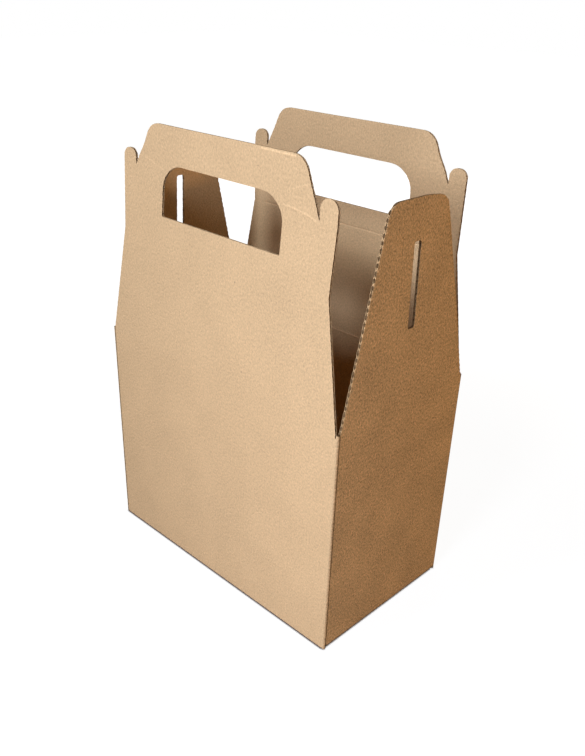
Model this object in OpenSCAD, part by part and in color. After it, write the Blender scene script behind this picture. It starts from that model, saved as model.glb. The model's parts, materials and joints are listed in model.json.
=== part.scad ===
// Folded lunch carton with a carrying handle, standing open with its four top flaps up.
// It is cut from one corrugated sheet. X runs along the wide front, Y from front to back,
// Z up, and the origin is the middle of the base.
// Each flap is drawn upright with its crease on the X axis and its outer side towards -Y,
// then turned to its own side of the carton and leaned as it stands.

/* [Body] */
// Outer width of the front wall
body_w = 190; // [150:1:260]
// Outer depth from the front wall to the back wall
body_d = 108; // [90:1:130]
// Height of the top creases above the base
body_h = 141.5; // [60:0.5:220]
// Thickness of the corrugated board
board_t = 1.5; // [1.2:0.1:3]
// Outside radius of the folded upright corners and bottom edges
fold_r = 1.2; // [0.4:0.1:1.2]

/* [Bottom flaps and glue tab] */
// Reach of the two inner bottom flaps from the side walls
inner_flap_len = 60; // [25:1:70]
// Play between an inner bottom flap and the boards beside it
inner_flap_play = 0.4; // [0.2:0.1:3]
// Height of the tongue that ends the bottom panel and tucks in along the back wall
tongue_h = 22; // [10:1:40]
// Distance of the tongue's ends from the glue tab
tongue_play = 3; // [1:0.5:10]
// Width of the tab that is glued inside the back wall
tab_w = 28; // [12:1:45]
// Slope of the tab's two ends, in degrees
tab_slope = 15; // [0:1:40]
// Distance of the tab's ends from the top crease and from the inner bottom flap
tab_inset = 4; // [2:0.5:15]

/* [Roof panels] */
// Length of a roof panel from the body crease to the handle crease
roof_len = 66.7; // [64:0.1:80]
// Play between a closed roof panel and the side flap that closes over its end
roof_side_play = 0.15; // [0.1:0.05:1]

/* [Handle panels] */
// Height of the hand hole's lower edge above the handle crease
hole_floor = 12.6; // [6:0.1:20]
// Height of the hand hole
hole_h = 29.4; // [24:0.1:36]
// Width of the hand hole
hole_w = 92; // [60:1:104]
// Radius of the hand hole's two upper corners
hole_r = 15; // [4:0.5:22]
// Radius of the hand hole's two lower corners
hole_foot_r = 0.8; // [0.4:0.1:3]
// Board left above the hand hole
handle_band = 18.8; // [12:0.1:30]
// Slope of the handle's sides from upright, in degrees
handle_slope = 25; // [15:1:35]
// Radius of the handle's two upper corners
handle_r = 11; // [3:0.5:14]
// Height of the notches' lowest point above the handle crease
notch_level = 36.5; // [30:0.1:40]
// Height of the ear tips above the notches' lowest point
ear_rise = 8.9; // [7:0.1:14]
// Radius of the ear tips
ear_r = 4.8; // [2:0.1:5]

/* [Side flaps] */
// Lean of a closed side flap from upright, in degrees
side_closed_lean = 17.1; // [16:0.1:19]
// Distance of a side flap's base from each corner of the body
side_flap_gap = 1.8; // [1.6:0.1:4]
// Width across the top of a side flap
side_flap_top_w = 47; // [30:1:60]
// Radius of a side flap's two upper corners
side_flap_r = 9; // [3:0.5:14]
// Board left above the ear slot
slot_band = 20.7; // [12:0.1:30]
// Width of the ear slot
slot_w = 6; // [4.8:0.1:10]
// Play between the ears and each end of the slot
slot_end_play = 2; // [1:0.1:4]
// Play between an ear's inner edge and a closed side flap
ear_play = 0.4; // [0.3:0.1:1]
// Height of the slot's upper end above the notches' lowest point when closed
notch_bite = 7; // [5:0.1:8]

/* [Rest pose] */
// Inward lean of the front flap, in degrees
front_lean = 3.3; // [-10:0.1:10]
// Inward lean of the back flap, in degrees
back_lean = -1.4; // [-10:0.1:3]
// Inward lean of the left side flap, in degrees
left_lean = 2.5; // [-10:0.1:10]
// Inward lean of the right side flap, in degrees
right_lean = 1.5; // [-10:0.1:10]

/* [Creases] */
// Gap between the rolled edge of one panel and the seat of the next
crease_gap = 0.06; // [0.04:0.01:0.15]
// Gap between the two closed handle panels
handle_gap = 0.3; // [0.2:0.1:1]

/* [Hidden] */
kraft_face = "#d3b58c";
kraft_side = "#a9814f";
kraft_dark = "#c29f70";
round_fn = 48;
// Steps along each rounded corner of an outline
arc_steps = 10;
// Length by which a cut runs past the board it cuts
over = 1;

half_t = board_t / 2;
hinge_x = body_w / 2 - half_t;
hinge_y = body_d / 2 - half_t;
inner_w = body_w - 2 * board_t;
inner_d = body_d - 2 * board_t;
// The rolled edge is a little slimmer than the board, so its sides never rub
roll_share = 0.93;
roll_r = half_t * roll_share;
seat_r = roll_r + crease_gap;
// Lowest board beside the seat, as shares of half the board: the shallow lip clears
// folds of up to 54 degrees, and the deep one folds of up to 90 degrees
shallow_share = 0.8;
deep_share = 1.15;
lip_shallow = half_t * shallow_share;
lip_deep = half_t * deep_share;
// Flat floor of a notch between the ear and the start of the handle's sloping side
notch_floor = 0.2;
// Radius of a slot's four corners, just short of a full round end
slot_corner_r = slot_w / 2.4;

// Closed roof: the handle crease comes to the middle, less the handle's half thickness
roof_run = hinge_y - half_t - handle_gap / 2;
ridge_h = sqrt(roof_len * roof_len - roof_run * roof_run);
roof_closed_lean = asin(roof_run / roof_len);

// Inward distance from the side crease to a face of the closed side flap, at height z
function closed_inset(z, side) =
    (z * sin(side_closed_lean) + side * half_t) / cos(side_closed_lean);

// Slope of a roof panel's ends, which stay inside the closed side flap's inner face
roof_base_half = hinge_x - closed_inset(half_t * sin(roof_closed_lean), 1) - roof_side_play;
kink_half = hinge_x - closed_inset(ridge_h + half_t * sin(roof_closed_lean), 1) - roof_side_play;

// The closed side flap stands in the notch at slot_top_z, just inside the ear's inner edge
slot_top_z = ridge_h + notch_level + notch_bite;
ear_in = hinge_x - closed_inset(slot_top_z, -1) + ear_play;
ear_out = kink_half;
handle_h = hole_floor + hole_h + handle_band;
notch_x = ear_in - notch_floor;
handle_top_half = notch_x - (handle_h - notch_level) * tan(handle_slope);

// Places along a side flap, measured from its crease
ear_inset = hinge_x - ear_out;
ear_cross_z = (ear_inset * cos(side_closed_lean) - half_t) / sin(side_closed_lean);
slot_low = ear_inset * sin(side_closed_lean) + ear_cross_z * cos(side_closed_lean)
    - slot_end_play;
slot_high = closed_inset(slot_top_z, -1) * sin(side_closed_lean)
    + slot_top_z * cos(side_closed_lean);
side_flap_h = slot_high + slot_band;
side_flap_base_half = body_d / 2 - side_flap_gap;

// Unit vector from point a to point b
function unit(a, b) = (b - a) / norm(b - a);

// Arc that rounds the corner at b, between the lines to a and to c, with radius r
function corner_arc(a, b, c, r) =
    let (
        u = unit(b, a),
        v = unit(b, c),
        half = acos(u * v) / 2,
        mid = b + unit([0, 0], u + v) * r / sin(half),
        from = b + u * r / tan(half) - mid,
        to = b + v * r / tan(half) - mid,
        a0 = atan2(from[1], from[0]),
        turn = atan2(to[1], to[0]) - a0,
        sweep = turn > 180 ? turn - 360 : (turn < -180 ? turn + 360 : turn)
    )
    [for (k = [0:arc_steps]) mid + r * [cos(a0 + sweep * k / arc_steps), sin(a0 + sweep * k / arc_steps)]];

// Closed outline through the points [x, y, radius]; a radius of 0 keeps a sharp corner
function rounded(pts) =
    let (n = len(pts), xy = [for (p = pts) [p[0], p[1]]])
    [for (i = [0:n - 1])
        each pts[i][2] == 0 ? [xy[i]]
            : corner_arc(xy[(i + n - 1) % n], xy[i], xy[(i + 1) % n], pts[i][2])];

// The points of the right half, from the middle top down, followed by their mirror image
function both_halves(right) =
    concat(right, [for (i = [len(right) - 1:-1:0]) [-right[i][0], right[i][1], right[i][2]]]);

// Flat board with its outline in X and Z and its thickness centred on Y
module board(outline) {
    translate([0, half_t, 0])
        rotate([90, 0, 0])
            linear_extrude(height = board_t)
                polygon(outline);
}

// Cut through a board
module cutout(outline) {
    translate([0, half_t + over, 0])
        rotate([90, 0, 0])
            linear_extrude(height = board_t + 2 * over)
                polygon(outline);
}

// Round bar of length 2 * half along X at height z
module bar(half, r, z) {
    translate([-half, 0, z])
        rotate([0, 90, 0])
            cylinder(r = r, h = 2 * half, $fn = round_fn);
}

// Space that a flap's lower edge leaves free: the seat and the relief on the outer side
module crease_relief(half, outer_lip) {
    bar(half + over, seat_r, 0);
    translate([-half - over, -half_t - over, -over])
        cube([2 * (half + over), half_t + over, over + outer_lip]);
}

// Places a flap on its side of the body: turned about Z, at its crease, leaned inwards
module on_crease(x, y, turn, lean) {
    translate([x, y, body_h])
        rotate([0, 0, turn])
            rotate([-lean, 0, 0])
                children();
}

module roof_panel() {
    outline = [
        [roof_base_half, lip_shallow], [kink_half, roof_len],
        [-kink_half, roof_len], [-roof_base_half, lip_shallow]
    ];
    difference() {
        board(outline);
        crease_relief(roof_base_half, lip_deep);
    }
    bar(kink_half, roll_r, roof_len);
}

module handle_panel() {
    ear_top = notch_level + ear_rise;
    outline = rounded(both_halves([
        [handle_top_half, handle_h, handle_r], [notch_x, notch_level, 0],
        [ear_in, notch_level, 0], [ear_in, ear_top, ear_r],
        [ear_out, ear_top, ear_r], [ear_out, lip_shallow, 0]
    ]));
    hole = rounded(both_halves([
        [hole_w / 2, hole_floor + hole_h, hole_r], [hole_w / 2, hole_floor, hole_foot_r]
    ]));
    difference() {
        board(outline);
        cutout(hole);
        crease_relief(ear_out, lip_shallow);
    }
}

module side_flap() {
    outline = rounded(both_halves([
        [side_flap_top_w / 2, side_flap_h, side_flap_r],
        [side_flap_base_half, lip_shallow, 0]
    ]));
    slot = rounded(both_halves([
        [slot_w / 2, slot_high, slot_corner_r], [slot_w / 2, slot_low, slot_corner_r]
    ]));
    difference() {
        board(outline);
        cutout(slot);
        crease_relief(side_flap_base_half, lip_deep);
    }
}

// Section of a folded corner of the board, its outer edge rounded at [0, 0]
module folded_corner() {
    intersection() {
        square([board_t, board_t]);
        union() {
            translate([fold_r, fold_r])
                circle(r = fold_r, $fn = round_fn);
            translate([fold_r, 0])
                square([board_t, board_t]);
            translate([0, fold_r])
                square([board_t, board_t]);
        }
    }
}

// Cross-section of an upright board that folds at its foot into a flat one; the outer
// side of the upright board is at 0 and the underside of the flat one at foot
module fold_section(foot, flat_len, top) {
    translate([0, foot]) {
        folded_corner();
        translate([0, board_t])
            square([board_t, top - foot - board_t]);
        translate([board_t, 0])
            square([flat_len - board_t, board_t]);
    }
}

// Folded board along X, its outer side offset_y in front of the middle
module folded_board(offset_y, half, foot, flat_len, top) {
    translate([-half, -offset_y, 0])
        rotate([90, 0, 90])
            linear_extrude(height = 2 * half)
                fold_section(foot, flat_len, top);
}

// Front wall with the bottom panel that runs back to the foot of the back wall
module front_wall_and_bottom() {
    folded_board(body_d / 2, inner_w / 2, 0, body_d - board_t - inner_flap_play, body_h);
}

// Tongue at the end of the bottom panel, folded up along the inside of the back wall
module bottom_tongue() {
    rotate([0, 0, 180])
        folded_board(inner_d / 2, inner_w / 2 - tab_w - tongue_play, 0, 2 * board_t, tongue_h);
}

module back_wall() {
    translate([-inner_w / 2, inner_d / 2, 0])
        cube([inner_w, board_t, body_h]);
}

// Side wall that folds into an inner bottom flap, lying on the bottom panel
module side_wall_and_flap() {
    low_y = -inner_d / 2 + inner_flap_play;
    high_y = inner_d / 2 - board_t - inner_flap_play;
    translate([inner_w / 2 - inner_flap_len + board_t, low_y, board_t])
        cube([inner_flap_len - board_t, high_y - low_y, board_t]);
    rotate([0, 0, 90])
        folded_board(body_w / 2, inner_d / 2, board_t, 2 * board_t, body_h);
}

// Upright folded corner between two walls, from height foot to the top crease
module corner_post(foot) {
    translate([body_w / 2, body_d / 2, foot])
        rotate([0, 0, 180])
            linear_extrude(height = body_h - foot)
                folded_corner();
}

// Glued corner, where the back wall's cut end laps over the left wall
module lapped_corner() {
    translate([-body_w / 2, inner_d / 2, 0])
        cube([board_t, board_t, body_h]);
}

// Tab that continues the left wall, glued to the inside of the back wall
module glue_tab() {
    low = 2 * board_t + tab_inset;
    high = body_h - tab_inset;
    rise = tab_w * tan(tab_slope);
    translate([-inner_w / 2, inner_d / 2, 0])
        rotate([90, 0, 0])
            linear_extrude(height = board_t)
                polygon([[0, low], [tab_w, low + rise], [tab_w, high - rise], [0, high]]);
}

// Rolled edges along the tops of the four walls, where the flaps turn
module crease_rolls() {
    for (y = [-hinge_y, hinge_y])
        translate([0, y, 0])
            bar(roof_base_half, roll_r, body_h);
    for (x = [-hinge_x, hinge_x])
        translate([x, 0, 0])
            rotate([0, 0, 90])
                bar(side_flap_base_half, roll_r, body_h);
}

module carton_body() {
    color(kraft_face) {
        front_wall_and_bottom();
        bottom_tongue();
        back_wall();
        for (side = [0, 1])
            mirror([side, 0, 0])
                side_wall_and_flap();
        corner_post(0);
        for (side = [0, 1])
            mirror([side, 0, 0])
                mirror([0, 1, 0])
                    corner_post(fold_r);
        lapped_corner();
        glue_tab();
        crease_rolls();
    }
}

module front_roof_panel() {
    color(kraft_face)
        on_crease(0, -hinge_y, 0, front_lean)
            roof_panel();
}

module front_handle_panel() {
    color(kraft_face)
        on_crease(0, -hinge_y, 0, front_lean)
            translate([0, 0, roof_len])
                handle_panel();
}

module back_roof_panel() {
    color(kraft_dark)
        on_crease(0, hinge_y, 180, back_lean)
            roof_panel();
}

module back_handle_panel() {
    color(kraft_dark)
        on_crease(0, hinge_y, 180, back_lean)
            translate([0, 0, roof_len])
                handle_panel();
}

module left_side_flap() {
    color(kraft_side)
        on_crease(-hinge_x, 0, -90, left_lean)
            side_flap();
}

module right_side_flap() {
    color(kraft_side)
        on_crease(hinge_x, 0, 90, right_lean)
            side_flap();
}

carton_body();
front_roof_panel();
front_handle_panel();
back_roof_panel();
back_handle_panel();
left_side_flap();
right_side_flap();
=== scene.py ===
import json
import math

import bpy
import numpy as np
from mathutils import Matrix, Vector


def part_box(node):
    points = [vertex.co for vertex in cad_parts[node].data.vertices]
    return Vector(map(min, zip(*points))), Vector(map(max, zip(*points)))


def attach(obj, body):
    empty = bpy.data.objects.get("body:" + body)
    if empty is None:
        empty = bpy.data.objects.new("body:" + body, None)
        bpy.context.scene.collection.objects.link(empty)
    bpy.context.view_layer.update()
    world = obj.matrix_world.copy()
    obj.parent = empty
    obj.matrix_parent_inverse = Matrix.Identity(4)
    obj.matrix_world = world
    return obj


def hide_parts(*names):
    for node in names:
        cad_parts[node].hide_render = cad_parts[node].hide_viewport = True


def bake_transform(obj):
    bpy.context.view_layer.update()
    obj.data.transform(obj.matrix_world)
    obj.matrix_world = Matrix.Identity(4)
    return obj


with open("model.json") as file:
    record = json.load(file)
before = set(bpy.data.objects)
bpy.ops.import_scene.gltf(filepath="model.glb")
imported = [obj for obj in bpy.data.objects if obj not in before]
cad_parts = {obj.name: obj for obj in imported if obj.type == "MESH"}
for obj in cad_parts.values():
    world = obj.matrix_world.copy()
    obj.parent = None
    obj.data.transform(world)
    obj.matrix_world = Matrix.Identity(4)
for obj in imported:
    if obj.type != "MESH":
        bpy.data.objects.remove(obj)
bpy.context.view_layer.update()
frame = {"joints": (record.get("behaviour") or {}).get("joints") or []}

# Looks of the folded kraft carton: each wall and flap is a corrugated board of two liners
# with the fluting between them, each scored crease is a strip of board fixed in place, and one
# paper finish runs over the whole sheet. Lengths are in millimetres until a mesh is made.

MM = 0.001

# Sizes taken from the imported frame

CREASES = {j["name"]: np.array(j["pos_m"]) / MM for j in frame["joints"]}
body_low, body_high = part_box("carton_body")
body_w = (body_high.x - body_low.x) / MM
body_d = (body_high.y - body_low.y) / MM
body_h = CREASES["front_roof_crease"][2]
hinge_y = CREASES["back_roof_crease"][1]
hinge_x = CREASES["right_side_crease"][0]
board_t = 2 * (body_w / 2 - hinge_x)
front_rise = CREASES["front_handle_crease"] - CREASES["front_roof_crease"]
back_rise = CREASES["back_handle_crease"] - CREASES["back_roof_crease"]
roof_len = float(np.hypot(front_rise[1], front_rise[2]))
front_lean = math.atan2(front_rise[1], front_rise[2])
back_lean = math.atan2(-back_rise[1], back_rise[2])
roof_base_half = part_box("front_roof_panel")[1].x / MM
ear_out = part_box("front_handle_panel")[1].x / MM
side_flap_base_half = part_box("right_side_flap")[1].y / MM
left_lean = math.radians(2.5)
right_lean = math.radians(1.5)

# Sizes of the cut-outs and corners, as the solids have them but for the narrower ear slots

fold_r = 1.2
inner_flap_len = 60
tongue_h = 22
tongue_play = 3
inner_flap_gap = 1.2
tab_w = 28
tab_slope = math.radians(15)
tab_inset = 4
tab_tip = 0.4
hole_floor = 12.6
hole_h = 29.4
hole_w = 92
hole_r = 15
hole_foot_r = 0.8
handle_band = 18.8
handle_h = hole_floor + hole_h + handle_band
handle_slope = math.radians(25)
handle_r = 11
notch_level = 36.5
ear_rise = 8.9
ear_top = notch_level + ear_rise
ear_r = 4.8
ear_w = 11.06
ear_in = ear_out - ear_w
notch_w = 0.2
notch_x = ear_in - notch_w
side_flap_h = 109.2
side_flap_top_half = 23.5
side_flap_r = 9
slot_low = 42.7
slot_high = 88.0
slot_half = 2.6
slot_r = 1.3

# The corrugated board

liner_t = 0.22
medium_t = 0.16
medium_columns = 3
few_columns = 2
flute_pitch = 3.4
flute_rows = 10
flute_swing = board_t / 2 - liner_t - medium_t / 2
row_step = flute_pitch / flute_rows
medium_inset = 0.45
pinch_depth = 0.05
pinch_reach = 0.95
crush_depth = 0.36
outer_crush = 0.5
crush_uneven = 0.6
flap_crush = 0.3
side_crush = 0.9
crest_shift = 0.9
crest_gain = 1.5
crest_open = 0.3
plain_ragged = 0.12
side_ragged = 0.3
crease_half = 1.6
crease_dip = 0.12
crease_reach = 0.8
crease_squash = 0.3
same_height = 0.01
corner_points = 9
sharp_angle = math.radians(40)


def smooth(share):
    """0 below 0, 1 above 1, and the curve 3s^2 - 2s^3 between them."""
    s = np.clip(share, 0, 1)
    return s * s * (3 - 2 * s)


def ramp(x, low, high):
    """0 up to low, 1 from high on, and a smooth step between them."""
    return smooth((x - low) / (high - low))


def wobble(x, seed):
    """An uneven wave from -1 to 1: four sines whose lengths share no common period."""
    a = np.sin(0.83 * x + 1.7 * seed) + 0.8 * np.sin(1.91 * x + 2.9 * seed)
    b = 0.6 * np.sin(4.37 * x + 4.1 * seed) + 0.4 * np.sin(9.73 * x + 5.3 * seed)
    return (a + b) / 2.8


def rows_between(breaks, step):
    """Heights through all the breaks, evenly spaced between each two of them."""
    marks = np.unique(np.round(breaks, 4))
    parts = [np.linspace(a, b, max(1, math.ceil((b - a) / step)) + 1)[:-1]
             for a, b in zip(marks[:-1], marks[1:])]
    return np.append(np.concatenate(parts), marks[-1])


def arc_rows(edge, r, down):
    """Heights that share a round corner of radius r out by its angle; the corner ends at edge."""
    turn = np.linspace(0, math.pi / 2, corner_points)
    return edge - down * r * (1 - np.sin(turn))


def corner_cut(gap, r):
    """How far a round corner of radius r stands back, at a distance gap from the edge it ends
    at: r less the root of r^2 - (r - gap)^2."""
    into = np.clip(r - np.clip(gap, 0, None), 0, r)
    return r - np.sqrt(r * r - into * into)


def sloped_side(v, top, half_top, slope, r):
    """Half width of a panel whose sides lean in by slope and end in corners of radius r.
    The straight side meets the top edge at half_top; the arc touches both."""
    centre_v = top - r
    centre_u = half_top - r * (1 - math.sin(slope)) / math.cos(slope)
    line = half_top + (top - v) * math.tan(slope)
    arc = centre_u + np.sqrt(np.clip(r * r - (v - centre_v) ** 2, 0, None))
    return np.where(v > centre_v + r * math.sin(slope), arc, line)


class Outline:
    """A flat board cut into bands: rows are heights, bounds[i] the places of the curves that
    divide row i, and filled[i, g] says whether group g has board between rows i and i + 1."""

    def __init__(self, rows, bounds, filled, columns):
        self.rows = rows
        self.bounds = np.stack([np.broadcast_to(b, rows.shape) for b in bounds], axis=1)
        middles = (rows[:-1] + rows[1:]) / 2
        self.filled = np.stack(
            [np.broadcast_to(f(middles) if callable(f) else f, middles.shape) for f in filled],
            axis=1).astype(bool)
        self.columns = columns

    def cut_signs(self):
        """For each row and bound: 1 where board starts there, -1 where it ends, else 0."""
        padded = np.pad(self.filled, ((0, 0), (1, 1)))
        step = padded[:, 1:].astype(int) - padded[:, :-1].astype(int)
        return np.sign(np.vstack([step[:1], step]) + np.vstack([step, step[-1:]]))

    def grid(self, columns, inset, ragged, seed):
        """u, v and the filled cells, with the columns of a group packed closer at its edges.
        A cut edge moves into the board by inset, and wavers by ragged."""
        waver = np.stack([wobble(self.rows, seed + 3.1 * k)
                          for k in range(self.bounds.shape[1])], 1)
        bounds = self.bounds + self.cut_signs() * (inset + ragged * (1 + waver) / 2)
        parts = []
        for g, count in enumerate(columns):
            share = (1 - np.cos(np.pi * np.arange(count) / count)) / 2
            parts.append(bounds[:, g, None] * (1 - share) + bounds[:, g + 1, None] * share)
        parts.append(bounds[:, -1:])
        u = np.concatenate(parts, axis=1)
        v = np.broadcast_to(self.rows[:, None], u.shape)
        return u, v, np.repeat(self.filled, columns, axis=1)


def cell_sides(cells):
    """Masks of the filled cells that have nothing below, above, to the left and to the right."""
    padded = np.pad(cells, 1)
    around = (padded[:-2, 1:-1], padded[2:, 1:-1], padded[1:-1, :-2], padded[1:-1, 2:])
    return [cells & ~other for other in around]


def shell_faces(cells):
    """Faces of a closed shell over the filled cells of a grid: its outer side, its inner side,
    whose points follow the outer ones, and the cut sides between them."""
    n, m = cells.shape[0] + 1, cells.shape[1] + 1
    index = np.arange(n * m).reshape(n, m)
    a, b, c, d = index[:-1, :-1], index[:-1, 1:], index[1:, 1:], index[1:, :-1]
    back = n * m
    below, above, left, right = cell_sides(cells)
    sides = [(a, a + back, b + back, b, below), (c, c + back, d + back, d, above),
             (a, d, d + back, a + back, left), (b, b + back, c + back, c, right)]
    flat = [np.stack([a, b, c, d], -1)[cells], np.stack([d, c, b, a], -1)[cells] + back]
    cut = [np.stack([p, q, r, s], -1)[mask] for p, q, r, s, mask in sides]
    return np.concatenate(flat), np.concatenate(cut)


def cut_distance(u, v, cells, joined):
    """Distance of each grid point from the nearest cut edge, by its nearest edge point. At the
    heights in joined the board carries on into another piece, so there is no edge."""
    below, above, left, right = cell_sides(cells)
    edge = np.zeros(u.shape, bool)
    for mask, corners in ((below, ((0, 0), (0, 1))), (above, ((1, 0), (1, 1))),
                          (left, ((0, 0), (1, 0))), (right, ((0, 1), (1, 1)))):
        for i, j in corners:
            edge[i:i + cells.shape[0], j:j + cells.shape[1]] |= mask
    for height in joined:
        edge &= np.abs(v - height) > same_height
    eu, ev = u[edge], v[edge]
    gap = np.empty(u.size)
    fu, fv = u.ravel(), v.ravel()
    block = 2000
    for start in range(0, u.size, block):
        part = slice(start, start + block)
        gap[part] = np.sqrt(((fu[part, None] - eu) ** 2 + (fv[part, None] - ev) ** 2).min(1))
    return gap.reshape(u.shape)


class Board:
    """Points and faces of one or more plies, gathered until they become one mesh."""

    def __init__(self):
        self.points, self.sheet, self.pressed = [], [], []
        self.faces, self.slots = [], []
        self.count = 0

    def add_ply(self, u, v, cells, place, top, thickness, pressed, sheet, slot, cut_slot):
        """Adds a closed shell between the depths top and top + thickness. place turns u, v and
        depth into points, pressed is kept with them for the cut edge's tone, which paints shade
        where the flute is open, and sheet shifts u and v to where they lie on the flat sheet."""
        flat, cut = shell_faces(cells)
        points = np.concatenate([place(u, v, top).reshape(-1, 3),
                                 place(u, v, top + thickness).reshape(-1, 3)])
        on_sheet = np.stack([u + sheet[0], v + sheet[1]], -1).reshape(-1, 2)
        faces = np.concatenate([flat, cut])
        used, faces = np.unique(faces, return_inverse=True)
        self.points.append(points[used])
        self.sheet.append(np.tile(on_sheet, (2, 1))[used])
        self.pressed.append(np.tile(pressed.ravel(), 2)[used])
        self.faces.append(faces.reshape(-1, 4) + self.count)
        self.slots.append(np.repeat([slot, cut_slot], [len(flat), len(cut)]))
        self.count += len(used)

    def mesh(self, name, materials):
        """The gathered plies as one object at the origin, smooth but for its sharp edges."""
        points = np.concatenate(self.points) * MM
        faces = np.concatenate(self.faces)
        sheet = np.concatenate(self.sheet) * SHEET_SCALE
        data = bpy.data.meshes.new(name)
        data.vertices.add(len(points))
        data.vertices.foreach_set("co", points.astype(np.float32).ravel())
        data.loops.add(faces.size)
        data.loops.foreach_set("vertex_index", faces.astype(np.int32).ravel())
        data.polygons.add(len(faces))
        data.polygons.foreach_set("loop_start", np.arange(0, faces.size, 4, dtype=np.int32))
        data.polygons.foreach_set("material_index", np.concatenate(self.slots).astype(np.int32))
        data.update(calc_edges=True)
        layer = data.uv_layers.new(name="sheet")
        layer.data.foreach_set("uv", sheet[faces.ravel()].astype(np.float32).ravel())
        pressed = data.attributes.new("pressed", "FLOAT", "POINT")
        pressed.data.foreach_set("value", np.concatenate(self.pressed).astype(np.float32))
        for material in materials:
            data.materials.append(material)
        data.polygons.foreach_set("use_smooth", np.ones(len(faces), bool))
        data.set_sharp_from_angle(angle=sharp_angle)
        obj = bpy.data.objects.new(name, data)
        bpy.context.scene.collection.objects.link(obj)
        return obj


# The sheet's own coordinates are kept in the UV map in decimetres
SHEET_SCALE = 0.01
INNER_SIDE_SHIFT = 1500.0
LINER, CUT, MEDIUM = 0, 1, 2


def score_dip(v, creases):
    """How far the scoring presses the board in at height v: a bell about each crease."""
    return sum(np.exp(-((v - c) / crease_reach) ** 2) for c in creases) if creases else 0 * v


def edge_crush(height, seed, crush):
    """How far a liner is pressed in at a cut edge: little over an open flute, and most where the
    cutting rule has crushed the flute's crest. It follows the fluting's wave, as a smooth step
    that opens near the crest, times an uneven strength."""
    crest = 0.5 + 0.5 * np.sin(2 * np.pi * height / flute_pitch + crest_shift)
    uneven = 1 + crush_uneven * wobble(1.3 * height, seed)
    shut = smooth(crest_gain * crest - crest_open)
    return pinch_depth + crush * crush_depth * shut * uneven


def as_cut(u, v):
    """The strain of a board that keeps its flat pattern."""
    return u, v


def nowhere_calm(u):
    """The calm of a board that is crushed evenly at all its cut edges."""
    return 0 * u


def corrugated(outline, place, sheet, joined=(), creases=(), ragged=plain_ragged, seed=1.0,
               strain=as_cut, crush=1.0, calm=nowhere_calm):
    """A board of three plies. The liners are pinched together near a cut edge and pressed in
    along the creases, and the fluting is a sine wave in the sheet's height between them.
    strain moves the points of the finished board in its own plane, out of the flat pattern, and
    calm takes off some of the crushing where it is above 0."""
    board = Board()
    lay = lambda u, v, depth: place(*strain(u, v), depth)
    for side in (0, 1):
        u, v, cells = outline.grid(outline.columns, 0, ragged, seed + side)
        gap = cut_distance(u, v, cells, joined)
        here = crush * (1 - calm(u))
        pinch = edge_crush(v + sheet[1], seed, here) * (1 - smooth(gap / pinch_reach))
        if side == 0:
            top = outer_crush * pinch
        else:
            top = board_t - liner_t - pinch - crease_dip * score_dip(v, creases)
        shift = (sheet[0] + side * INNER_SIDE_SHIFT, sheet[1])
        board.add_ply(u, v, cells, lay, top, liner_t, pinch, shift, LINER, CUT)
    few = [medium_columns] * len(outline.columns)
    u, v, cells = outline.grid(few, medium_inset, ragged, seed + 5)
    squash = 1 - crease_squash * score_dip(v, creases)
    wave = flute_swing * np.sin(2 * np.pi * (v + sheet[1]) / flute_pitch) * squash
    middle = board_t / 2 - medium_t / 2 - 0.5 * crease_dip * score_dip(v, creases)
    board.add_ply(u, v, cells, lay, middle + wave, medium_t, np.zeros(u.shape), sheet,
                  MEDIUM, MEDIUM)
    return board


# Where the panels stand


class Side:
    """One side of the carton: u runs along its crease, v up the panel and depth inwards from
    the outer face. Below the crease the board is upright; above it, it leans by lean."""

    def __init__(self, x, y, turn, lean):
        self.origin = np.array([x, y, body_h])
        self.along = np.array([math.cos(turn), math.sin(turn), 0])
        self.inward = np.array([-math.sin(turn), math.cos(turn), 0])
        self.lean = lean

    def place(self, u, v, depth):
        """The point at u, v and depth: the height v over the crease and the depth from the middle
        plane, turned together by the lean, which comes in smoothly over the crease."""
        angle = self.lean * smooth((v + crease_half) / (2 * crease_half))
        y = depth - board_t / 2
        inward = v * np.sin(angle) + y * np.cos(angle)
        up = v * np.cos(angle) - y * np.sin(angle)
        return (self.origin + u[..., None] * self.along + inward[..., None] * self.inward
                + up[..., None] * np.array([0, 0, 1]))

    def spot(self, v):
        """A point of the panel's middle plane at height v, in metres."""
        at = self.place(np.array(0.0), np.array(float(v)), np.array(board_t / 2))
        return tuple(at * MM)


FRONT = Side(0, -hinge_y, 0, front_lean)
BACK = Side(0, hinge_y, math.pi, back_lean)
RIGHT = Side(hinge_x, 0, math.pi / 2, right_lean)
LEFT = Side(-hinge_x, 0, -math.pi / 2, left_lean)
SHEET_U = {"front": 0, "right": (body_w + body_d) / 2, "back": body_w + body_d,
           "left": -(body_w + body_d) / 2}


# Flaps

roof_columns = [40]
handle_columns = [7, 1, 12, 16, 12, 1, 7]
side_flap_columns = [18, 4, 18]
crease_columns = [24]

handle_skew = 0.036
skew_reach = 48
skew_fade = 0.75
ear_fade = (62, 67)
top_fade_along = (-30, 30)
top_fade_up = (30, skew_reach)
lift_span = (-40, 60)
sag_end = (46, 58)
sag_height = 7
tear_reach = 5.5
hole_crown = roof_len + hole_floor + hole_h
handle_top = roof_len + handle_h
notch_foot = roof_len + notch_level


def roof_half(v):
    """Half width of a roof panel: straight sides from the body crease to the handle crease."""
    return roof_base_half + (ear_out - roof_base_half) * np.clip(v / roof_len, 0, 1)


def bell(u, v, at_u, at_v, reach):
    """A bell over the spot at_u, at_v: 1 there, and 1/e at the distance reach."""
    return np.exp(-((u - at_u) ** 2 + (v - at_v) ** 2) / reach ** 2)


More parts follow.
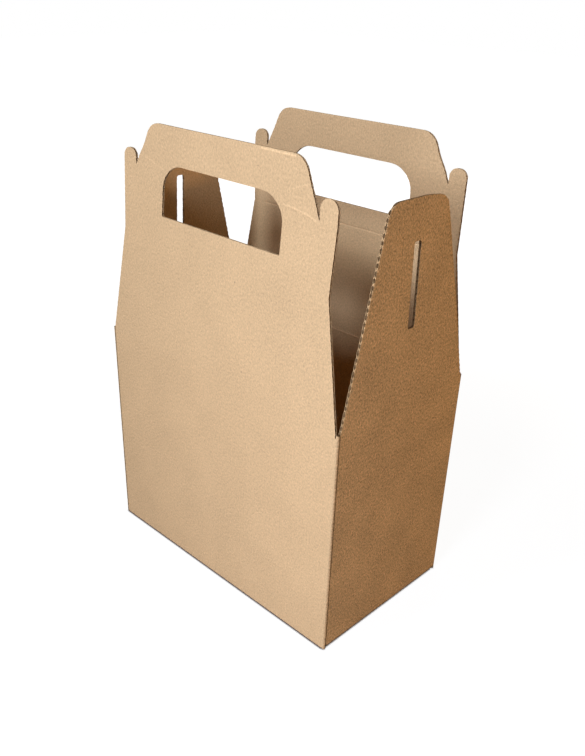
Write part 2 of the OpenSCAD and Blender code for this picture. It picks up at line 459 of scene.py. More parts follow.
def handle_strain(lift_side, lift, lift_all, hole_sag, right_tear, left_tear):
    """How a handle panel differs from its plain outline: it is cut a little askew, its top edge
    rises towards one side, the hole's upper edge hangs lower and the two notches differ. The
    skew grows with the height over the handle crease, and fades at the ear where u is lowest and
    high up where u is highest."""

    def strain(u, v):
        """The place of u, v after the skew along u, and the rise, the sag and the tear along v."""
        over = np.clip(v - roof_len - crease_half, 0, skew_reach)
        over = over * (1 - skew_fade * ramp(-u, *ear_fade))
        over = over * (1 - skew_fade * ramp(u, *top_fade_along) * ramp(over, *top_fade_up))
        rise = (lift_all + lift * ramp(lift_side * u, *lift_span)) * ramp(v, hole_crown, handle_top)
        sag = hole_sag * (1 - ramp(np.abs(u), *sag_end))
        sag = sag * np.exp(-((v - hole_crown) / sag_height) ** 2)
        tear = (right_tear * bell(u, v, notch_x, notch_foot, tear_reach)
                + left_tear * bell(u, v, -notch_x, notch_foot, tear_reach))
        return u + handle_skew * over, v + rise - sag - tear

    return strain


slot_off = 0.6
slot_calm = (7, 13)
rear_lean = 1.7
rear_lean_up = (30, 100)
rear_lean_along = (8, 20)
rear_drop = 1.2
rear_drop_up = (90, 105)
rear_drop_along = (2, 20)


def side_flap_strain(u, v):
    """The right side flap's rear edge leans in further, and its top edge drops towards the back:
    each by its own length, times a smooth step along the flap and one up it."""
    narrow = rear_lean * ramp(v, *rear_lean_up) * ramp(u, *rear_lean_along)
    drop = rear_drop * ramp(u, *rear_drop_along) * ramp(v, *rear_drop_up)
    return u - narrow, v - drop


def beside_slot(u):
    """1 at the ear slot, whose narrow cut stays open, and 0 out at a side flap's own edges."""
    return 1 - ramp(np.abs(u), *slot_calm)


def roof_outline():
    """A roof panel between the strips of its two creases."""
    v = rows_between([crease_half, roof_len - crease_half], row_step)
    half = roof_half(v)
    return Outline(v, [-half, half], [True], roof_columns)


def handle_outline():
    """The handle panel: a band above the hand hole, an ear on each side beyond a notch."""
    hole_top = hole_floor + hole_h
    v = rows_between(np.concatenate([
        [crease_half, hole_floor, hole_top, notch_level, ear_top, handle_h],
        arc_rows(hole_top, hole_r, 1), arc_rows(hole_floor, hole_foot_r, -1),
        arc_rows(ear_top, ear_r, 1), arc_rows(handle_h, handle_r, 1)]), row_step)
    hole = hole_w / 2 - corner_cut(hole_top - v, hole_r) - corner_cut(v - hole_floor, hole_foot_r)
    top_half = notch_x - (handle_h - notch_level) * math.tan(handle_slope)
    side = np.where(v <= notch_level, notch_x,
                    sloped_side(v, handle_h, top_half, handle_slope, handle_r))
    inner = ear_in + corner_cut(ear_top - v, ear_r)
    outer = ear_out - corner_cut(ear_top - v, ear_r)
    bounds = [-outer, -inner, -side, -hole, hole, side, inner, outer]
    ear = lambda x: x < ear_top
    notch = lambda x: x < notch_level
    solid = lambda x: (x < hole_floor) | (x > hole_top)
    filled = [ear, notch, True, solid, True, notch, ear]
    outline = Outline(v, bounds, filled, handle_columns)
    outline.rows = v + roof_len
    return outline


def side_flap_outline(slot_middle):
    """A side flap with its ear slot, which is cut a little to one side of the middle."""
    slope = math.atan((side_flap_base_half - side_flap_top_half) / side_flap_h)
    v = rows_between(np.concatenate([
        [crease_half, slot_low, slot_high, side_flap_h],
        arc_rows(slot_high, slot_r, 1), arc_rows(slot_low, slot_r, -1),
        arc_rows(side_flap_h, side_flap_r, 1)]), row_step)
    side = sloped_side(v, side_flap_h, side_flap_top_half, slope, side_flap_r)
    slot = slot_half - corner_cut(slot_high - v, slot_r) - corner_cut(v - slot_low, slot_r)
    whole = lambda x: (x < slot_low) | (x > slot_high)
    bounds = [-side, slot_middle - slot, slot_middle + slot, side]
    return Outline(v, bounds, [True, whole, True], side_flap_columns)


def crease_outline(middle, half_width):
    """A strip of board along a crease, crease_half wide to each side of it."""
    v = rows_between([middle - crease_half, middle, middle + crease_half], row_step / 2)
    return Outline(v, [-half_width(v), half_width(v)], [True], crease_columns)


# Walls and bottom


def folded_line(corners, radius, inward, breaks):
    """A line in a plane that follows the board's outer face round its folds. Each fold is an
    arc; inside the fold the inner face keeps a small arc of its own. Returns the running
    length, the outer points and the step inwards for each millimetre of depth."""
    corners = np.array(corners, float)
    inner_r = 0.12
    arc_steps = 6
    shortest = 0.05
    span = np.diff(corners, axis=0)
    lengths = np.linalg.norm(span, axis=1)
    unit = span / lengths[:, None]
    inwards = inward * np.stack([-unit[:, 1], unit[:, 0]], 1)
    starts = np.concatenate([[0], np.cumsum(lengths)])
    s, outer, step = [], [], []
    for k in range(len(span)):
        low = starts[k] + (radius[k] if k else 0)
        high = starts[k + 1] - (radius[k + 1] if k < len(span) - 1 else 0)
        inside = [x for x in breaks if low + shortest < x < high - shortest]
        for x in [low, *inside, high]:
            s.append(x)
            outer.append(corners[k] + unit[k] * (x - starts[k]))
            step.append(inwards[k])
        if k == len(span) - 1:
            break
        r = radius[k + 1]
        turn = np.linspace(0, 1, arc_steps + 1)[:, None] * math.pi / 2
        facing = inwards[k] * np.cos(turn) + inwards[k + 1] * np.sin(turn)
        both = inwards[k] + inwards[k + 1]
        arc = corners[k + 1] + both * r - facing * r
        deep = corners[k + 1] + both * (board_t + inner_r) - facing * inner_r
        s[-1], outer[-1], step[-1] = high, arc[0], (deep[0] - arc[0]) / board_t
        for i in range(1, arc_steps + 1):
            s.append(high + 2 * r * i / arc_steps)
            outer.append(arc[i])
            step.append((deep[i] - arc[i]) / board_t)
    keep = np.append(np.diff(s) > 1e-6, True)
    return np.array(s)[keep], np.array(outer)[keep], np.array(step)[keep]


def along_line(line, s, depth):
    """Points of a folded line at running length s, moved in by depth."""
    length, outer, step = line
    at = [np.interp(s, length, outer[:, k]) + depth * np.interp(s, length, step[:, k])
          for k in (0, 1)]
    return np.stack(at, -1)


fold_guard = 0.12
tab_fold_r = 0.3
tab_fold_len = 1.5
corner_foot = 0.5
wall_row = 2.2
wall_columns = 18
wall_ragged = 0.02
long_span = 50
wall_line_corners = [
    (-body_w / 2 + tab_fold_len, body_d / 2 - board_t), (-body_w / 2, body_d / 2 - board_t),
    (-body_w / 2, -body_d / 2), (body_w / 2, -body_d / 2),
    (body_w / 2, body_d / 2), (-body_w / 2, body_d / 2)]


def walls():
    """The four walls as one board that goes round the carton from the tab's fold to the raw
    end of the back wall. The flaps' creases and the bottom folds are left free."""
    lengths = np.linalg.norm(np.diff(wall_line_corners, axis=0), axis=1)
    starts = np.concatenate([[0], np.cumsum(lengths)])
    middle = (starts[1:] + starts[:-1]) / 2
    left_mid = starts[1] + (body_d / 2 - board_t)
    free = [(left_mid, side_flap_base_half), (middle[2], roof_base_half),
            (middle[3], side_flap_base_half), (middle[4], roof_base_half)]
    ends = [x for mid, half in free for x in (mid - half, mid + half)]
    radius = [0, tab_fold_r, fold_r, fold_r, fold_r, 0]
    ends += [starts[k] + way * (fold_r + fold_guard) for k in (2, 3, 4) for way in (-1, 1)]
    line = folded_line(wall_line_corners, radius, 1, ends)
    s = line[0]
    breaks = [0, corner_foot, board_t, 2 * board_t, body_h - crease_half, body_h]
    centre = (s[:-1] + s[1:]) / 2
    filled, columns = [], []
    for k, x in enumerate(centre):
        under_flap = any(abs(x - mid) < half for mid, half in free)
        top = body_h - crease_half if under_flap else body_h
        on_back = starts[4] + fold_r < x
        on_sides = any(abs(x - mid) < half for mid, half in (free[0], free[2]))
        on_front = abs(x - free[1][0]) < free[1][1]
        foot = 0 if on_back else 2 * board_t if on_sides else board_t if on_front else corner_foot
        filled.append(lambda z, foot=foot, top=top: (z > foot) & (z < top))
        columns.append(wall_columns if s[k + 1] - s[k] > long_span else 1)
    outline = Outline(rows_between(breaks, wall_row), list(s), filled, columns)
    fine = Outline(rows_between(breaks, row_step), list(s), filled, columns)
    place = lambda a, z, d: np.concatenate(
        [along_line(line, a, np.broadcast_to(d, a.shape)), z[..., None]], -1)
    sheet = (-starts[2] - body_w / 2, 0)
    board = Board()
    for side in (0, 1):
        u, z, cells = outline.grid(columns, 0, wall_ragged, 1)
        top = np.full(u.shape, side * (board_t - liner_t))
        board.add_ply(u, z, cells, place, top, liner_t, np.zeros(u.shape),
                      (sheet[0] + side * INNER_SIDE_SHIFT, 0), LINER, CUT)
    few = [min(count, few_columns) for count in columns]
    u, z, cells = fine.grid(few, medium_inset, wall_ragged, 3)
    wave = flute_swing * np.sin(2 * np.pi * z / flute_pitch)
    board.add_ply(u, z, cells, place, board_t / 2 - medium_t / 2 + wave, medium_t,
                  np.zeros(u.shape), sheet, MEDIUM, MEDIUM)
    return board


base_row = 3.0
base_columns = 10
base_ragged = 0.05


def folded_piece(line, half_width, flip, place_axis, sheet):
    """A board folded along a line and carried straight along u, with cut ends at each side. Its
    points are the line's, at the running length v, with u added along the place_axis."""
    s = line[0]
    rows = rows_between(s, base_row)
    fine = rows_between(s, row_step)
    make = lambda r: Outline(r, [-half_width(r), half_width(r)], [True], [base_columns])

    def place(u, v, d):
        """The point at the running length v of the line, moved in by d and along by u."""
        at = along_line(line, v, np.broadcast_to(d, v.shape))
        if place_axis == "x":
            return np.stack([u, at[..., 0], at[..., 1]], -1)
        return np.stack([at[..., 0], flip * u, at[..., 1]], -1)

    board = Board()
    for side in (0, 1):
        u, v, cells = make(rows).grid([base_columns], 0, base_ragged, 2)
        top = np.full(u.shape, side * (board_t - liner_t))
        board.add_ply(u, v, cells, place, top, liner_t, np.zeros(u.shape),
                      (sheet[0] + side * INNER_SIDE_SHIFT, sheet[1]), LINER, CUT)
    u, v, cells = make(fine).grid([few_columns], medium_inset, base_ragged, 4)
    wave = flute_swing * np.sin(2 * np.pi * v / flute_pitch)
    board.add_ply(u, v, cells, place, board_t / 2 - medium_t / 2 + wave, medium_t,
                  np.zeros(u.shape), sheet, MEDIUM, MEDIUM)
    return board


tab_columns = [8]

# Where the parts below the walls, and the tab, lie on the flat sheet
bottom_on_sheet = (0, -130)
inner_flap_on_sheet = -62
tab_on_sheet = (-420, 0)


def bottom_panel():
    """The tongue, the bottom panel and the fold into the front wall, from back to front."""
    corners = [(body_d / 2 - board_t, tongue_h), (body_d / 2 - board_t, 0),
               (-body_d / 2, 0), (-body_d / 2, board_t)]
    line = folded_line(corners, [0, fold_r, fold_r, 0], -1, [])
    tongue_half = body_w / 2 - board_t - tab_w - tongue_play
    panel_half = body_w / 2 - board_t
    shoulder = 0.4
    half = lambda v: np.where(v < tongue_h + shoulder, tongue_half, panel_half)
    return folded_piece(line, half, 1, "x", bottom_on_sheet)


def inner_flap(side):
    """A side wall's fold and the inner flap that it carries on the bottom panel."""
    reach = body_w / 2 - inner_flap_len
    corners = [(side * reach, board_t), (side * body_w / 2, board_t),
               (side * body_w / 2, 2 * board_t)]
    line = folded_line(corners, [0, fold_r, 0], side, [])
    half = lambda v: np.full(v.shape, body_d / 2 - board_t - inner_flap_gap)
    u = SHEET_U["right"] if side > 0 else SHEET_U["left"]
    return folded_piece(line, half, side, "y", (u, inner_flap_on_sheet))


def glue_tab():
    """The tab glued inside the back wall, with its two ends sloped."""
    low = 2 * board_t + tab_inset
    high = body_h - tab_inset
    rise = tab_w * math.tan(tab_slope)
    v = rows_between([low, low + rise, high - rise, high], row_step)
    width = np.clip(np.minimum(v - low, high - v) / math.tan(tab_slope), tab_tip, tab_w)
    start = -body_w / 2 + board_t
    outline = Outline(v, [start, start + width], [True], tab_columns)
    plane = body_d / 2 - board_t
    place = lambda u, z, d: np.stack([u, plane - (board_t - np.broadcast_to(d, u.shape)), z], -1)
    return corrugated(outline, place, tab_on_sheet, seed=6.0)


# Paper finish

KRAFT = (0.60, 0.395, 0.205)
KRAFT_EDGE = (0.66, 0.43, 0.21)
# The fluting's colour is darkened as painted shade of the hollows between the flutes.
FLUTING_AND_HOLLOW_SHADE = (0.20, 0.11, 0.045)


def wire(tree, kind, sockets=None, **settings):
    """Adds a node, sets it up, and fills its inputs with links or plain values."""
    made = tree.nodes.new(kind)
    for key, value in settings.items():
        setattr(made, key, value)
    for key, value in (sockets or {}).items():
        if isinstance(value, bpy.types.NodeSocket):
            tree.links.new(value, made.inputs[key])
        else:
            made.inputs[key].default_value = value
    return made


def calc(tree, operation, a, b=0.0, c=0.0, clamp=False):
    """One step of arithmetic on numbers."""
    made = wire(tree, "ShaderNodeMath", {0: a, 1: b, 2: c}, operation=operation)
    made.use_clamp = clamp
    return made.outputs[0]


def new_group(name, inputs, outputs):
    """An empty node group with the named inputs and outputs, and its two end nodes."""
    tree = bpy.data.node_groups.new(name, "ShaderNodeTree")
    for socket, kind, value in inputs:
        made = tree.interface.new_socket(socket, in_out="INPUT", socket_type=kind)
        if value is not None:
            made.default_value = value
    for socket, kind in outputs:
        tree.interface.new_socket(socket, in_out="OUTPUT", socket_type=kind)
    given = tree.nodes.new("NodeGroupInput").outputs
    return tree, given, tree.nodes.new("NodeGroupOutput").inputs


def place_group(tree, group, sockets):
    """Adds a node group and fills its inputs with links or plain values."""
    made = tree.nodes.new("ShaderNodeGroup")
    made.node_tree = group
    for key, value in sockets.items():
        if isinstance(value, bpy.types.NodeSocket):
            tree.links.new(value, made.inputs[key])
        else:
            made.inputs[key].default_value = value
    return made.outputs


cloud_share = 0.3
mottle_share = 1.0
mottle_stretch = (1, 0.8, 1)
blotch_share = 0.15
blotch_size = 3.1
fibre_share = 1.1
fibre_size = 0.7
fibre_stretch = (1.5, 0.75, 1)
pulp_detail = 2.0
pulp_rough = 0.6


def mottle_group():
    """Kraft pulp: broad clouds, blotches, a fine mottle and short fibres. The tone is their sum
    by their shares, and the height is the mottle plus the fibres. The sizes of the blotches and
    the fibres are shares of the mottle's."""
    tree, given, out = new_group(
        "kraft_mottle",
        [("Place", "NodeSocketVector", None), ("Cloud size", "NodeSocketFloat", 30.0),
         ("Mottle size", "NodeSocketFloat", 1.15)],
        [("Tone", "NodeSocketFloat"), ("Height", "NodeSocketFloat")])

    def noise(stretch, size):
        """Noise about 0, whose grains are size long before the stretch."""
        at = wire(tree, "ShaderNodeVectorMath", {0: given["Place"], 1: stretch},
                  operation="MULTIPLY")
        scale = calc(tree, "DIVIDE", 1.0, size)
        made = wire(tree, "ShaderNodeTexNoise",
                    {"Vector": at.outputs[0], "Scale": scale, "Detail": pulp_detail,
                     "Roughness": pulp_rough}, noise_dimensions="2D")
        return calc(tree, "SUBTRACT", made.outputs[0], 0.5)

    cloud = noise((1, 1, 1), given["Cloud size"])
    blotch = noise((1, 1, 1), calc(tree, "MULTIPLY", given["Mottle size"], blotch_size))
    mottle = noise(mottle_stretch, given["Mottle size"])
    fibre = noise(fibre_stretch, calc(tree, "MULTIPLY", given["Mottle size"], fibre_size))
    tone = calc(tree, "MULTIPLY", cloud, cloud_share)
    for part, share in ((mottle, mottle_share), (blotch, blotch_share), (fibre, fibre_share)):
        tone = calc(tree, "ADD", tone, calc(tree, "MULTIPLY", part, share))
    height = calc(tree, "ADD", mottle, fibre)
    tree.links.new(tone, out["Tone"])
    tree.links.new(height, out["Height"])
    return tree


speck_least = 0.4


def speck_group():
    """Dark bark specks: a small share of the cells of a cell pattern holds a speck, which is
    darkest in its middle. Its radius is Radius times speck_least plus the cell's own number."""
    tree, given, out = new_group(
        "bark_specks",
        [("Place", "NodeSocketVector", None), ("Spacing", "NodeSocketFloat", 5.0),
         ("Share", "NodeSocketFloat", 0.2), ("Radius", "NodeSocketFloat", 0.05)],
        [("Mask", "NodeSocketFloat")])
    scale = calc(tree, "DIVIDE", 1.0, given["Spacing"])
    cell = wire(tree, "ShaderNodeTexVoronoi", {"Vector": given["Place"], "Scale": scale},
                voronoi_dimensions="2D", feature="F1")
    tint = wire(tree, "ShaderNodeSeparateColor", {0: cell.outputs["Color"]})
    chosen = calc(tree, "LESS_THAN", tint.outputs[0], given["Share"])
    reach = calc(tree, "MULTIPLY", given["Radius"], calc(tree, "ADD", tint.outputs[1], speck_least))
    away = calc(tree, "DIVIDE", cell.outputs["Distance"], reach)
    near = calc(tree, "SUBTRACT", 1.0, away, clamp=True)
    tree.links.new(calc(tree, "MULTIPLY", chosen, near), out["Mask"])
    return tree


def stress_group():
    """A mark along a straight piece from Start to End: 1 on it, and 0 from Width away from it. The
    distance is that to the nearest point of the piece, whose share of the way is held to 0..1."""
    tree, given, out = new_group(
        "stress_line",
        [("Place", "NodeSocketVector", None), ("Start", "NodeSocketVector", None),
         ("End", "NodeSocketVector", None), ("Width", "NodeSocketFloat", 0.8)],
        [("Mask", "NodeSocketFloat")])

    def vector(operation, a, b):
        """One step of arithmetic on vectors."""
        return wire(tree, "ShaderNodeVectorMath", {0: a, 1: b}, operation=operation).outputs

    way = vector("SUBTRACT", given["End"], given["Start"])[0]
    off = vector("SUBTRACT", given["Place"], given["Start"])[0]
    share = calc(tree, "DIVIDE", vector("DOT_PRODUCT", off, way)["Value"],
                 vector("DOT_PRODUCT", way, way)["Value"], clamp=True)
    along = wire(tree, "ShaderNodeVectorMath", {0: way, "Scale": share},
                 operation="SCALE").outputs[0]
    rest = vector("SUBTRACT", off, along)[0]
    gap = wire(tree, "ShaderNodeVectorMath", {0: rest}, operation="LENGTH").outputs["Value"]
    mask = wire(tree, "ShaderNodeMapRange", {0: gap, 1: 0.0, 2: given["Width"], 3: 1.0, 4: 0.0},
                interpolation_type="SMOOTHSTEP")
    tree.links.new(mask.outputs[0], out["Mask"])
    return tree


def on_sheet(word, u, v, inner=0):
    """The place on the flat sheet of a spot u across and v above a panel's body crease."""
    return (SHEET_U[word] + u + inner * INNER_SIDE_SHIFT, body_h + v, 0)


# Each mark runs from its start to its end and fades over its width. It lightens the paper by
# its tint and raises it by its lift. The last two are the scored lines inside the back panel.
MARKS = [
    (on_sheet("front", 69, 101.7), on_sheet("front", 46, 104.6), 1.0, 0.2, 0.7),
    (on_sheet("front", -62, 109), on_sheet("front", -45, 105), 0.8, 0.09, 0.4),
    (on_sheet("front", 47, 110.7), on_sheet("front", 63.6, 116.4), 0.8, 0.09, 0.5),
    (on_sheet("front", 30, 126.6), on_sheet("front", 52, 126.2), 0.9, 0.3, 0.5),
    (on_sheet("back", -70, roof_len, 1), on_sheet("back", 70, roof_len, 1), 0.8, 0.16, -0.6),
    (on_sheet("back", -90, -1.7, 1), on_sheet("back", 90, -1.7, 1), 0.8, 0.25, 0.6)]
SINGLE_SPECKS = [on_sheet("front", 23.9, 10), on_sheet("front", 15.7, 57.9),
                 on_sheet("front", 28, 118.6)]
speck_len = 0.2
speck_w = 0.7
speck_tint = -0.4


def handling_marks(tree, groups, place):
    """Creases that handling has left beside the notches and the hole, the back panel's scored
    lines and single bark specks. Returns a factor for the colour and a height for the bump."""
    light, ridge = 1.0, 0.0
    for start, end, width, tint, lift in MARKS:
        mask = place_group(tree, groups["stress"], {"Place": place, "Start": start, "End": end,
                                                    "Width": width})["Mask"]
        light = calc(tree, "ADD", light, calc(tree, "MULTIPLY", mask, tint))
        ridge = calc(tree, "ADD", ridge, calc(tree, "MULTIPLY", mask, lift))
    for at in SINGLE_SPECKS:
        end = (at[0] + speck_len, at[1], 0)
        spot = place_group(tree, groups["stress"], {"Place": place, "Start": at, "End": end,
                                                    "Width": speck_w})
        light = calc(tree, "ADD", light, calc(tree, "MULTIPLY", spot["Mask"], speck_tint))
    return light, ridge


plain_mottle = 0.45
# The stronger mottle on the side panels is painted shading that stands in for grazing light.
side_shade_mottle = 0.85
bark_tint = -0.45
# A cut edge's tone by how far its liner is pressed: dark where the flute is open, as painted shade
# of the hollow, and lighter where the crushed paper is pressed shut.
open_press = 0.06
shut_press = 0.32
open_flute_shade = 0.35
shut_tone = 1.25
paper_rough = 0.82
paper_gloss = 0.25
fibre_lift = 0.00026
fibre_relief = 0.9


def kraft_liner(groups, name, kraft, marks=None, edge=False):
    """The smooth outer paper of the board. Its mottle is stronger on the side panels, which is
    within half the body's depth of their middle lines on the outer side: painted shading that
    stands in for grazing light over the paper's relief. On a cut edge it is painted dark, as
    shade, where the flute behind it is open, and light where it is pressed shut."""
    material = bpy.data.materials.new(name)
    material.use_nodes = True
    tree = material.node_tree
    shader = tree.nodes["Principled BSDF"]
    uv = wire(tree, "ShaderNodeUVMap", uv_map="sheet")
    place = wire(tree, "ShaderNodeVectorMath", {0: uv.outputs[0], "Scale": 1 / SHEET_SCALE},
                 operation="SCALE").outputs[0]
    pulp = place_group(tree, groups["mottle"], {"Place": place})
    across = wire(tree, "ShaderNodeSeparateXYZ", {0: place}).outputs[0]
    # On the side panels' outer side the mottle is made stronger, as painted shading for grazing
    # light.
    off = calc(tree, "SUBTRACT", calc(tree, "ABSOLUTE", across), SHEET_U["right"])
    on_side_panel = calc(tree, "LESS_THAN", calc(tree, "ABSOLUTE", off), body_d / 2)
    strength = calc(tree, "MULTIPLY_ADD", on_side_panel, side_shade_mottle, plain_mottle)
    tone = calc(tree, "MULTIPLY_ADD", pulp["Tone"], strength, 1.0)
    specks = place_group(tree, groups["specks"], {"Place": place})["Mask"]
    tone = calc(tree, "MULTIPLY", tone, calc(tree, "MULTIPLY_ADD", specks, bark_tint, 1.0))
    colour = wire(tree, "ShaderNodeVectorMath", {0: kraft}, operation="SCALE")
    tree.links.new(colour.outputs[0], shader.inputs["Base Color"])
    shader.inputs["Roughness"].default_value = paper_rough
    shader.inputs["Specular IOR Level"].default_value = paper_gloss
    height = pulp["Height"]
    if marks:
        light, ridge = marks(tree, groups, place)
        tone = calc(tree, "MULTIPLY", tone, light)
        height = calc(tree, "ADD", height, ridge)
    if edge:
        # Painted shade on the cut edge: darker where the flute behind is open, lighter where
        # pressed shut.
        pressed = wire(tree, "ShaderNodeAttribute", attribute_name="pressed")
        shut = wire(tree, "ShaderNodeMapRange",
                    {0: pressed.outputs["Fac"], 1: open_press, 2: shut_press,
                     3: open_flute_shade, 4: shut_tone})
        tone = calc(tree, "MULTIPLY", tone, shut.outputs[0])
    tree.links.new(tone, colour.inputs["Scale"])
    bump = wire(tree, "ShaderNodeBump",
                {"Height": height, "Strength": fibre_relief, "Distance": fibre_lift})
    tree.links.new(bump.outputs[0], shader.inputs["Normal"])
    return material


def fluting_paper_and_shade(groups):
    """The redder paper of the flutes, painted much darker as shade in the flutes' hollows."""
    return kraft_liner(groups, "fluting_paper_and_shade", FLUTING_AND_HOLLOW_SHADE)


# Stage, in metres and degrees

camera_place = (0.31652, -0.32232, 0.34153)
camera_turn = 43.68
camera_rise = 28.41
camera_roll = 1.97
camera_lens = 38.757
camera_shift = (0.00626, 0.04705)
camera_near = 0.01


def aim_camera():
    """The photograph's view: it looks down on the front and the right side."""
    azimuth = math.radians(camera_turn)
    elevation = math.radians(camera_rise)
    roll = math.radians(camera_roll)
    back = Vector((math.sin(azimuth) * math.cos(elevation),
                   -math.cos(azimuth) * math.cos(elevation), math.sin(elevation)))
    right = Vector((math.cos(azimuth), math.sin(azimuth), 0))
    up = back.cross(right)
    axis_x = right * math.cos(roll) + up * math.sin(roll)
    axis_y = up * math.cos(roll) - right * math.sin(roll)
    data = bpy.data.cameras.new("camera")
    data.lens = camera_lens
    data.shift_x, data.shift_y = camera_shift
    data.clip_start = camera_near
    camera = bpy.data.objects.new("camera", data)
    turn = Matrix((axis_x, axis_y, back)).transposed().to_4x4()
    camera.matrix_world = Matrix.Translation(camera_place) @ turn
    bpy.context.scene.collection.objects.link(camera)
    bpy.context.scene.camera = camera


def towards(turn, rise):
    """A direction, in degrees: turn from the front towards the right side, and rise above the
    floor."""
    turn, rise = math.radians(turn), math.radians(rise)
    level = math.cos(rise)
    return Vector((math.sin(turn) * level, -math.cos(turn) * level, math.sin(rise)))


def lamp(name, place, target, size, power, colour):
    """A soft square lamp that faces its target."""
    data = bpy.data.lights.new(name, "AREA")
    data.size = size
    data.energy = power
    data.color = colour
    made = bpy.data.objects.new(name, data)
    facing = (place - target).to_track_quat("Z", "Y").to_matrix().to_4x4()
    made.matrix_world = Matrix.Translation(place) @ facing
    bpy.context.scene.collection.objects.link(made)


def camera_sees(tree):
    """1 for what the camera sees straight on, in a gloss or through glass, else 0."""
    path = tree.nodes.new("ShaderNodeLightPath")
    seen = calc(tree, "MAXIMUM", path.outputs["Is Camera Ray"], path.outputs["Is Glossy Ray"])
    return calc(tree, "MAXIMUM", seen, path.outputs["Is Transmission Ray"])


world_tint = (1.0, 0.66, 0.3, 1)
world_light = 0.14


def light_world():
    """A dim, warm light from all around, which the camera sees as white."""
    world = bpy.data.worlds.new("world")
    bpy.context.scene.world = world
    world.use_nodes = True
    tree = world.node_tree
    tree.nodes.clear()
    dim = wire(tree, "ShaderNodeBackground", {"Color": world_tint, "Strength": world_light})
    white = wire(tree, "ShaderNodeBackground", {"Color": (1, 1, 1, 1), "Strength": 1.0})
    mix = wire(tree, "ShaderNodeMixShader",
               {0: camera_sees(tree), 1: dim.outputs[0], 2: white.outputs[0]})
    out = tree.nodes.new("ShaderNodeOutputWorld")
    tree.links.new(mix.outputs[0], out.inputs[0])


floor_half = 4.0
floor_colour = (0.34, 0.27, 0.2, 1)
shadow_colour = (0.1, 0.1, 0.1, 1)
# The painted contact shadow: a thin brown line on the floor's glow close to the carton.
contact_reach = 0.002
contact_dark = 0.54
contact_light = 0.8
contact_shadow_tint = (0.06, 0.03, 0.015)
glow_near = 0.22
glow_far = 0.5
glow_least = 0.95


def lay_floor():
    """A pale floor. The camera sees it as a white glow with a painted contact shadow, a thin brown
    line by ambient occlusion where the carton stands, over a faint paint that takes the lamps'
    shadows. All other rays meet a brown floor."""
    data = bpy.data.meshes.new("floor")
    corners = [(floor_half * x, floor_half * y, 0) for x, y in ((-1, -1), (1, -1), (1, 1), (-1, 1))]
    data.from_pydata(corners, [], [(0, 1, 2, 3)])
    floor = bpy.data.objects.new("floor", data)
    bpy.context.scene.collection.objects.link(floor)
    material = bpy.data.materials.new("floor_paint")
    material.use_nodes = True
    tree = material.node_tree
    tree.nodes.clear()
    paint = wire(tree, "ShaderNodeBsdfDiffuse", {"Color": floor_colour})
    shadow = wire(tree, "ShaderNodeBsdfDiffuse", {"Color": shadow_colour})
    # Painted contact shadow: ambient occlusion darkens the glow to brown near the carton.
    near = wire(tree, "ShaderNodeAmbientOcclusion", {"Distance": contact_reach}, samples=8)
    shade = wire(tree, "ShaderNodeMapRange",
                 {0: near.outputs["AO"], 1: contact_dark, 2: contact_light}).outputs[0]
    at = wire(tree, "ShaderNodeTexCoord")
    reach = wire(tree, "ShaderNodeVectorMath", {0: at.outputs["Object"]}, operation="LENGTH")
    level = wire(tree, "ShaderNodeMapRange",
                 {0: reach.outputs["Value"], 1: glow_near, 2: glow_far,
                  3: glow_least, 4: 1.0}).outputs[0]
    tint = wire(tree, "ShaderNodeCombineXYZ",
                {k: calc(tree, "MULTIPLY_ADD", shade, 1 - least, least)
                 for k, least in enumerate(contact_shadow_tint)})
    glow = wire(tree, "ShaderNodeEmission", {"Color": tint.outputs[0], "Strength": level})
    seen = wire(tree, "ShaderNodeAddShader", {0: shadow.outputs[0], 1: glow.outputs[0]})
    mix = wire(tree, "ShaderNodeMixShader",
               {0: camera_sees(tree), 1: paint.outputs[0], 2: seen.outputs[0]})
    out = tree.nodes.new("ShaderNodeOutputMaterial")
    tree.links.new(mix.outputs[0], out.inputs[0])
    data.materials.append(material)


# Pieces


def make_flap(name, outline, side, sheet_u, body, node, seed, joined, strain=as_cut,
              ragged=plain_ragged, crush=flap_crush, calm=nowhere_calm):
    """A flap's board, which rides on its body and takes the place of its solid node."""
    board = corrugated(outline, side.place, (sheet_u, body_h), joined=joined, seed=seed,
                       strain=strain, ragged=ragged, crush=crush, calm=calm)
    piece = board.mesh(name, PAPERS)
    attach(piece, body)
    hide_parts(node)


def make_crease(name, side, sheet_u, middle, half_width, seed):
    """The strip along a crease, made in place between the two bodies that it joins; it stays fixed.
    """
    outline = crease_outline(middle, half_width)
    ends = (middle - crease_half, middle + crease_half)
    board = corrugated(outline, side.place, (sheet_u, body_h), joined=ends, creases=[middle],
                       seed=seed, crush=flap_crush)
    piece = board.mesh(name, PAPERS)
    rim = 0.1
    side.spot(middle - crease_half + rim)
    side.spot(middle + crease_half - rim)
    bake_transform(piece)


# Making the scene

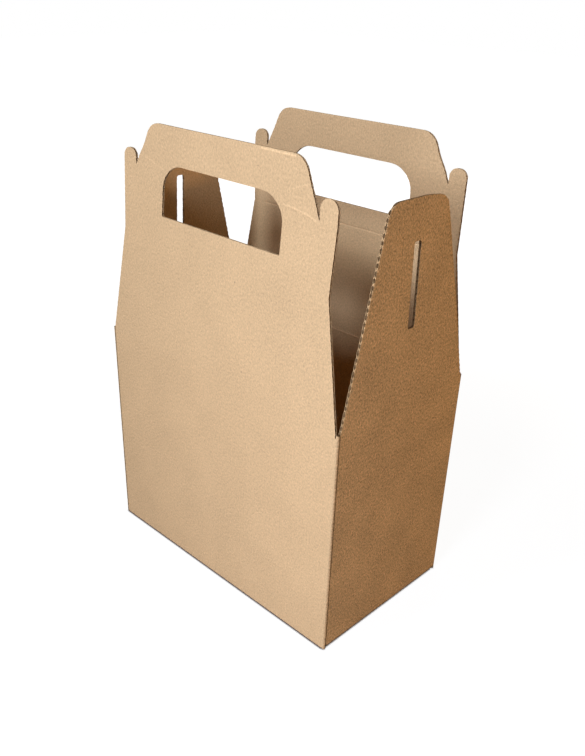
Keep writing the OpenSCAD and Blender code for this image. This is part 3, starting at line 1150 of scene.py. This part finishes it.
bpy.context.scene.view_settings.view_transform = "Standard"
aim_camera()
light_world()
lay_floor()
MIDDLE = Vector((0, 0, 0.12))
near_lamps = 0.95
far_lamps = 1.2
lamp("key", place=MIDDLE + near_lamps * towards(-12, 24), target=Vector((2.2, 0, 0.5)),
     size=0.2, power=7.4, colour=(0.90, 1.02, 1.22))
lamp("right_fill", place=MIDDLE + near_lamps * towards(16, 41), target=Vector((0, 0, 0.5)),
     size=0.2, power=4.6, colour=(0.90, 1.02, 1.28))
lamp("low_right", place=Vector((0.17, -0.36, 0.06)), target=Vector((0.05, 0, 0.06)),
     size=0.12, power=0.42, colour=(0.92, 1.0, 1.25))
lamp("warm_side", place=MIDDLE + far_lamps * towards(130, 3), target=Vector((0, 0, 1.7)),
     size=0.3, power=5.5, colour=(1.0, 0.54, 0.08))
lamp("rear_fill", place=MIDDLE + far_lamps * towards(215, 5), target=MIDDLE,
     size=0.6, power=6.5, colour=(1.0, 1.0, 1.0))

GROUPS = {"mottle": mottle_group(), "specks": speck_group(), "stress": stress_group()}
PAPERS = [kraft_liner(GROUPS, "kraft_liner", KRAFT, handling_marks),
          kraft_liner(GROUPS, "cut_edge", KRAFT_EDGE, edge=True),
          fluting_paper_and_shade(GROUPS)]

for name, board in (("carton_walls", walls()), ("bottom_panel", bottom_panel()),
                    ("right_inner_flap", inner_flap(1)), ("left_inner_flap", inner_flap(-1)),
                    ("glue_tab", glue_tab())):
    piece = board.mesh(name, PAPERS)
    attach(piece, "body")
    if name == "carton_walls":
        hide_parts("carton_body")

STRAINS = {"front": handle_strain(lift_side=1, lift=0.4, lift_all=0.5, hole_sag=0.4,
                                  right_tear=1.7, left_tear=-1.0),
           "back": handle_strain(lift_side=-1, lift=0.4, lift_all=0.2, hole_sag=0.9,
                                 right_tear=0, left_tear=0)}
for word, side in (("front", FRONT), ("back", BACK)):
    roof = word + "_roof"
    handle = word + "_handle"
    make_flap(roof + "_board", roof_outline(), side, SHEET_U[word], roof, roof + "_panel",
              seed=1.0, joined=(crease_half, roof_len - crease_half))
    make_flap(handle + "_board", handle_outline(), side, SHEET_U[word], handle, handle + "_panel",
              seed=2.0, joined=(roof_len + crease_half,), strain=STRAINS[word])
    make_crease(word + "_body_fold", side, SHEET_U[word], 0.0, roof_half, seed=3.0)
    make_crease(handle + "_fold", side, SHEET_U[word], roof_len, roof_half, seed=4.0)

for word, side, off, strain in (("left", LEFT, slot_off, as_cut),
                                ("right", RIGHT, -slot_off, side_flap_strain)):
    make_flap(word + "_flap_board", side_flap_outline(off), side, SHEET_U[word], word + "_flap",
              word + "_side_flap", seed=5.0, joined=(crease_half,), strain=strain,
              ragged=side_ragged, crush=side_crush, calm=beside_slot)
    base = lambda v: np.full(v.shape, float(side_flap_base_half))
    make_crease(word + "_flap_fold", side, SHEET_U[word], 0.0, base,
                seed=6.0)
